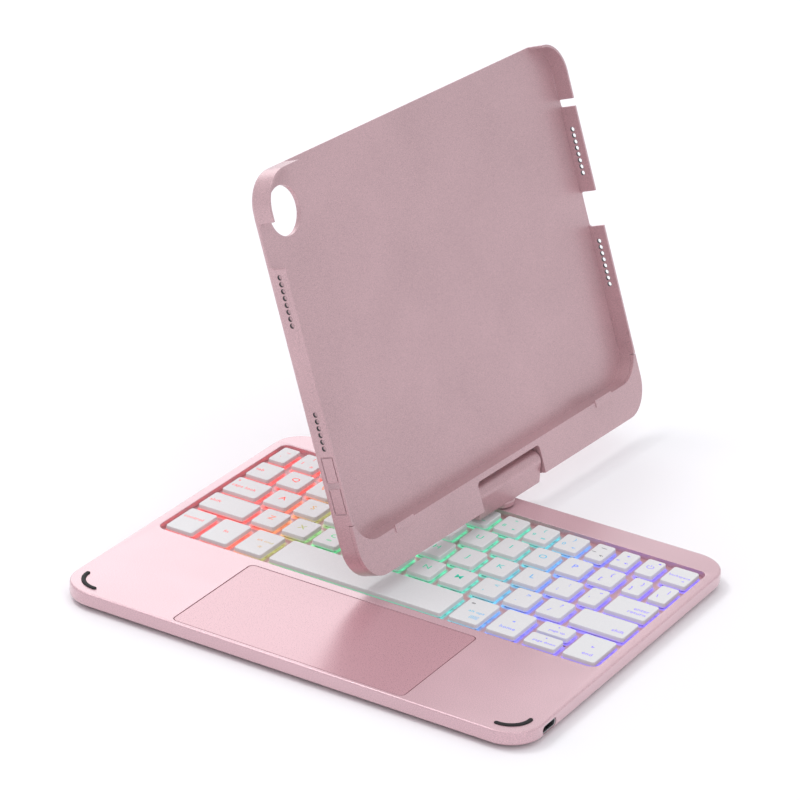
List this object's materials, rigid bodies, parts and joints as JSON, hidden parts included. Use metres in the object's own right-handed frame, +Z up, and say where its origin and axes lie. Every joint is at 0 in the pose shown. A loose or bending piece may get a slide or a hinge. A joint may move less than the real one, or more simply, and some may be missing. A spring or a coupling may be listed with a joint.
{
  "type": "tablet keyboard case",
  "caption": "Slim keyboard base with backlit keys and trackpad, and a swivelling, tilting tray on a rear hinge block that holds a small tablet.",
  "frame": {"origin": "centre of the whole part's box on the desk, with the tray turned as in its rest pose", "axes": "+X to the typist's right, +Y to the rear of the keyboard, +Z up"},
  "size_m": [0.188, 0.2534, 0.1539],
  "materials": {
    "rose_metal": "fine satin metallic",
    "rose_pad": "smooth satin",
    "key_plate": "satin",
    "hinge_paint": "satin metallic",
    "key_cap": "matt with clear legends",
    "clear_sheet": "milky",
    "white_plastic": "matt",
    "board": "solder mask",
    "silver_foil": "foil",
    "port_steel": "plain",
    "steel": "plain",
    "black_rubber": "matt",
    "light_lens": "clear"
  },
  "bodies": {
    "base": {"deck": "rose_metal", "bottom_cover": "rose_metal", "key_plate": "key_plate", "switch_film": "clear_sheet", "key_scissors": "white_plastic", "backlight_sheet": "clear_sheet", "main_board": "board", "battery": "silver_foil", "usb_port": "port_steel", "trackpad_board": "board", "trackpad_bracket": "steel", "corner_bumpers": "black_rubber", "feet": "black_rubber", "base_screws": "steel", "indicator_lights": "light_lens", "sleep_magnets": "steel", "swivel_plate": "steel"},
    "swivel": {"slide_washer": "white_plastic", "spring_washer": "steel", "swivel_post": "steel", "swivel_nut": "steel", "hinge_block": "hinge_paint", "hinge_shafts": "steel"},
    "tray": {"hinge_bracket_left": "steel", "hinge_bracket_right": "steel", "friction_sleeves": "steel", "bracket_screws": "steel", "back_shell": "rose_metal", "chin_cover": "rose_metal"},
    "trackpad": {"trackpad": "rose_pad"},
    "volume_up": {"volume_up": "rose_metal"},
    "volume_down": {"volume_down": "rose_metal"},
    "keys_numbers": {"keys_numbers": "key_cap"},
    "keys_q_row": {"keys_q_row": "key_cap"},
    "keys_a_row": {"keys_a_row": "key_cap"},
    "keys_z_row": {"keys_z_row": "key_cap"},
    "key_grave": {"key_grave": "key_cap"},
    "key_minus": {"key_minus": "key_cap"},
    "key_equals": {"key_equals": "key_cap"},
    "key_power": {"key_power": "key_cap"},
    "key_backspace": {"key_backspace": "key_cap"},
    "key_tab": {"key_tab": "key_cap"},
    "key_bracket": {"key_bracket": "key_cap"},
    "key_backslash": {"key_backslash": "key_cap"},
    "key_caps": {"key_caps": "key_cap"},
    "key_quote": {"key_quote": "key_cap"},
    "key_enter": {"key_enter": "key_cap"},
    "key_shift_left": {"key_shift_left": "key_cap"},
    "key_shift_right": {"key_shift_right": "key_cap"},
    "key_control": {"key_control": "key_cap"},
    "key_fn": {"key_fn": "key_cap"},
    "key_command": {"key_command": "key_cap"},
    "key_space": {"key_space": "key_cap"},
    "key_option": {"key_option": "key_cap"},
    "key_home": {"key_home": "key_cap"},
    "key_page_up": {"key_page_up": "key_cap"},
    "key_page_down": {"key_page_down": "key_cap"},
    "key_end": {"key_end": "key_cap"}
  },
  "joints": [
    {"name": "hinge_swivel", "type": "hinge", "parent": "base", "child": "swivel", "pos_m": [0, 0.02514, 0.0074], "axis": [0, 0, 1], "range_deg": [-266.8, 93.2]},
    {"name": "hinge_tilt", "type": "hinge", "parent": "swivel", "child": "tray", "pos_m": [0.0018, 0.02504, 0.0174], "axis": [0.0558, 0.9984, 0], "range_deg": [-29.2, 112.4]},
    {"name": "trackpad_click", "type": "hinge", "parent": "base", "child": "trackpad", "pos_m": [0, -0.07396, 0.00545], "axis": [1, 0, 0], "range_deg": [0, 0.35], "stiffness_Nm_per_rad": 8, "springref_deg": -0.11},
    {"name": "volume_up_press", "type": "slide", "parent": "tray", "child": "volume_up", "axis": [0.0558, 0.9984, 0], "range_m": [0, 0.0004], "stiffness_N_per_m": 2000, "springref_m": -0.0001},
    {"name": "volume_down_press", "type": "slide", "parent": "tray", "child": "volume_down", "axis": [0.0558, 0.9984, 0], "range_m": [0, 0.0004], "stiffness_N_per_m": 2000, "springref_m": -0.0001},
    {"name": "keys_numbers_press", "type": "slide", "parent": "base", "child": "keys_numbers", "axis": [0, 0, -1], "range_m": [0, 0.00065], "stiffness_N_per_m": 600, "springref_m": -0.0003},
    {"name": "keys_q_row_press", "type": "slide", "parent": "base", "child": "keys_q_row", "axis": [0, 0, -1], "range_m": [0, 0.00065], "stiffness_N_per_m": 600, "springref_m": -0.0003},
    {"name": "keys_a_row_press", "type": "slide", "parent": "base", "child": "keys_a_row", "axis": [0, 0, -1], "range_m": [0, 0.00065], "stiffness_N_per_m": 600, "springref_m": -0.0003},
    {"name": "keys_z_row_press", "type": "slide", "parent": "base", "child": "keys_z_row", "axis": [0, 0, -1], "range_m": [0, 0.00065], "stiffness_N_per_m": 600, "springref_m": -0.0003},
    {"name": "key_grave_press", "type": "slide", "parent": "base", "child": "key_grave", "axis": [0, 0, -1], "range_m": [0, 0.00065], "stiffness_N_per_m": 600, "springref_m": -0.0003},
    {"name": "key_minus_press", "type": "slide", "parent": "base", "child": "key_minus", "axis": [0, 0, -1], "range_m": [0, 0.00065], "stiffness_N_per_m": 600, "springref_m": -0.0003},
    {"name": "key_equals_press", "type": "slide", "parent": "base", "child": "key_equals", "axis": [0, 0, -1], "range_m": [0, 0.00065], "stiffness_N_per_m": 600, "springref_m": -0.0003},
    {"name": "key_power_press", "type": "slide", "parent": "base", "child": "key_power", "axis": [0, 0, -1], "range_m": [0, 0.00065], "stiffness_N_per_m": 600, "springref_m": -0.0003},
    {"name": "key_backspace_press", "type": "slide", "parent": "base", "child": "key_backspace", "axis": [0, 0, -1], "range_m": [0, 0.00065], "stiffness_N_per_m": 600, "springref_m": -0.0003},
    {"name": "key_tab_press", "type": "slide", "parent": "base", "child": "key_tab", "axis": [0, 0, -1], "range_m": [0, 0.00065], "stiffness_N_per_m": 600, "springref_m": -0.0003},
    {"name": "key_bracket_press", "type": "slide", "parent": "base", "child": "key_bracket", "axis": [0, 0, -1], "range_m": [0, 0.00065], "stiffness_N_per_m": 600, "springref_m": -0.0003},
    {"name": "key_backslash_press", "type": "slide", "parent": "base", "child": "key_backslash", "axis": [0, 0, -1], "range_m": [0, 0.00065], "stiffness_N_per_m": 600, "springref_m": -0.0003},
    {"name": "key_caps_press", "type": "slide", "parent": "base", "child": "key_caps", "axis": [0, 0, -1], "range_m": [0, 0.00065], "stiffness_N_per_m": 600, "springref_m": -0.0003},
    {"name": "key_quote_press", "type": "slide", "parent": "base", "child": "key_quote", "axis": [0, 0, -1], "range_m": [0, 0.00065], "stiffness_N_per_m": 600, "springref_m": -0.0003},
    {"name": "key_enter_press", "type": "slide", "parent": "base", "child": "key_enter", "axis": [0, 0, -1], "range_m": [0, 0.00065], "stiffness_N_per_m": 600, "springref_m": -0.0003},
    {"name": "key_shift_left_press", "type": "slide", "parent": "base", "child": "key_shift_left", "axis": [0, 0, -1], "range_m": [0, 0.00065], "stiffness_N_per_m": 600, "springref_m": -0.0003},
    {"name": "key_shift_right_press", "type": "slide", "parent": "base", "child": "key_shift_right", "axis": [0, 0, -1], "range_m": [0, 0.00065], "stiffness_N_per_m": 600, "springref_m": -0.0003},
    {"name": "key_control_press", "type": "slide", "parent": "base", "child": "key_control", "axis": [0, 0, -1], "range_m": [0, 0.00065], "stiffness_N_per_m": 600, "springref_m": -0.0003},
    {"name": "key_fn_press", "type": "slide", "parent": "base", "child": "key_fn", "axis": [0, 0, -1], "range_m": [0, 0.00065], "stiffness_N_per_m": 600, "springref_m": -0.0003},
    {"name": "key_command_press", "type": "slide", "parent": "base", "child": "key_command", "axis": [0, 0, -1], "range_m": [0, 0.00065], "stiffness_N_per_m": 600, "springref_m": -0.0003},
    {"name": "key_space_press", "type": "slide", "parent": "base", "child": "key_space", "axis": [0, 0, -1], "range_m": [0, 0.00065], "stiffness_N_per_m": 600, "springref_m": -0.0003},
    {"name": "key_option_press", "type": "slide", "parent": "base", "child": "key_option", "axis": [0, 0, -1], "range_m": [0, 0.00065], "stiffness_N_per_m": 600, "springref_m": -0.0003},
    {"name": "key_home_press", "type": "slide", "parent": "base", "child": "key_home", "axis": [0, 0, -1], "range_m": [0, 0.00065], "stiffness_N_per_m": 600, "springref_m": -0.0003},
    {"name": "key_page_up_press", "type": "slide", "parent": "base", "child": "key_page_up", "axis": [0, 0, -1], "range_m": [0, 0.00065], "stiffness_N_per_m": 600, "springref_m": -0.0003},
    {"name": "key_page_down_press", "type": "slide", "parent": "base", "child": "key_page_down", "axis": [0, 0, -1], "range_m": [0, 0.00065], "stiffness_N_per_m": 600, "springref_m": -0.0003},
    {"name": "key_end_press", "type": "slide", "parent": "base", "child": "key_end", "axis": [0, 0, -1], "range_m": [0, 0.00065], "stiffness_N_per_m": 600, "springref_m": -0.0003}
  ]
}
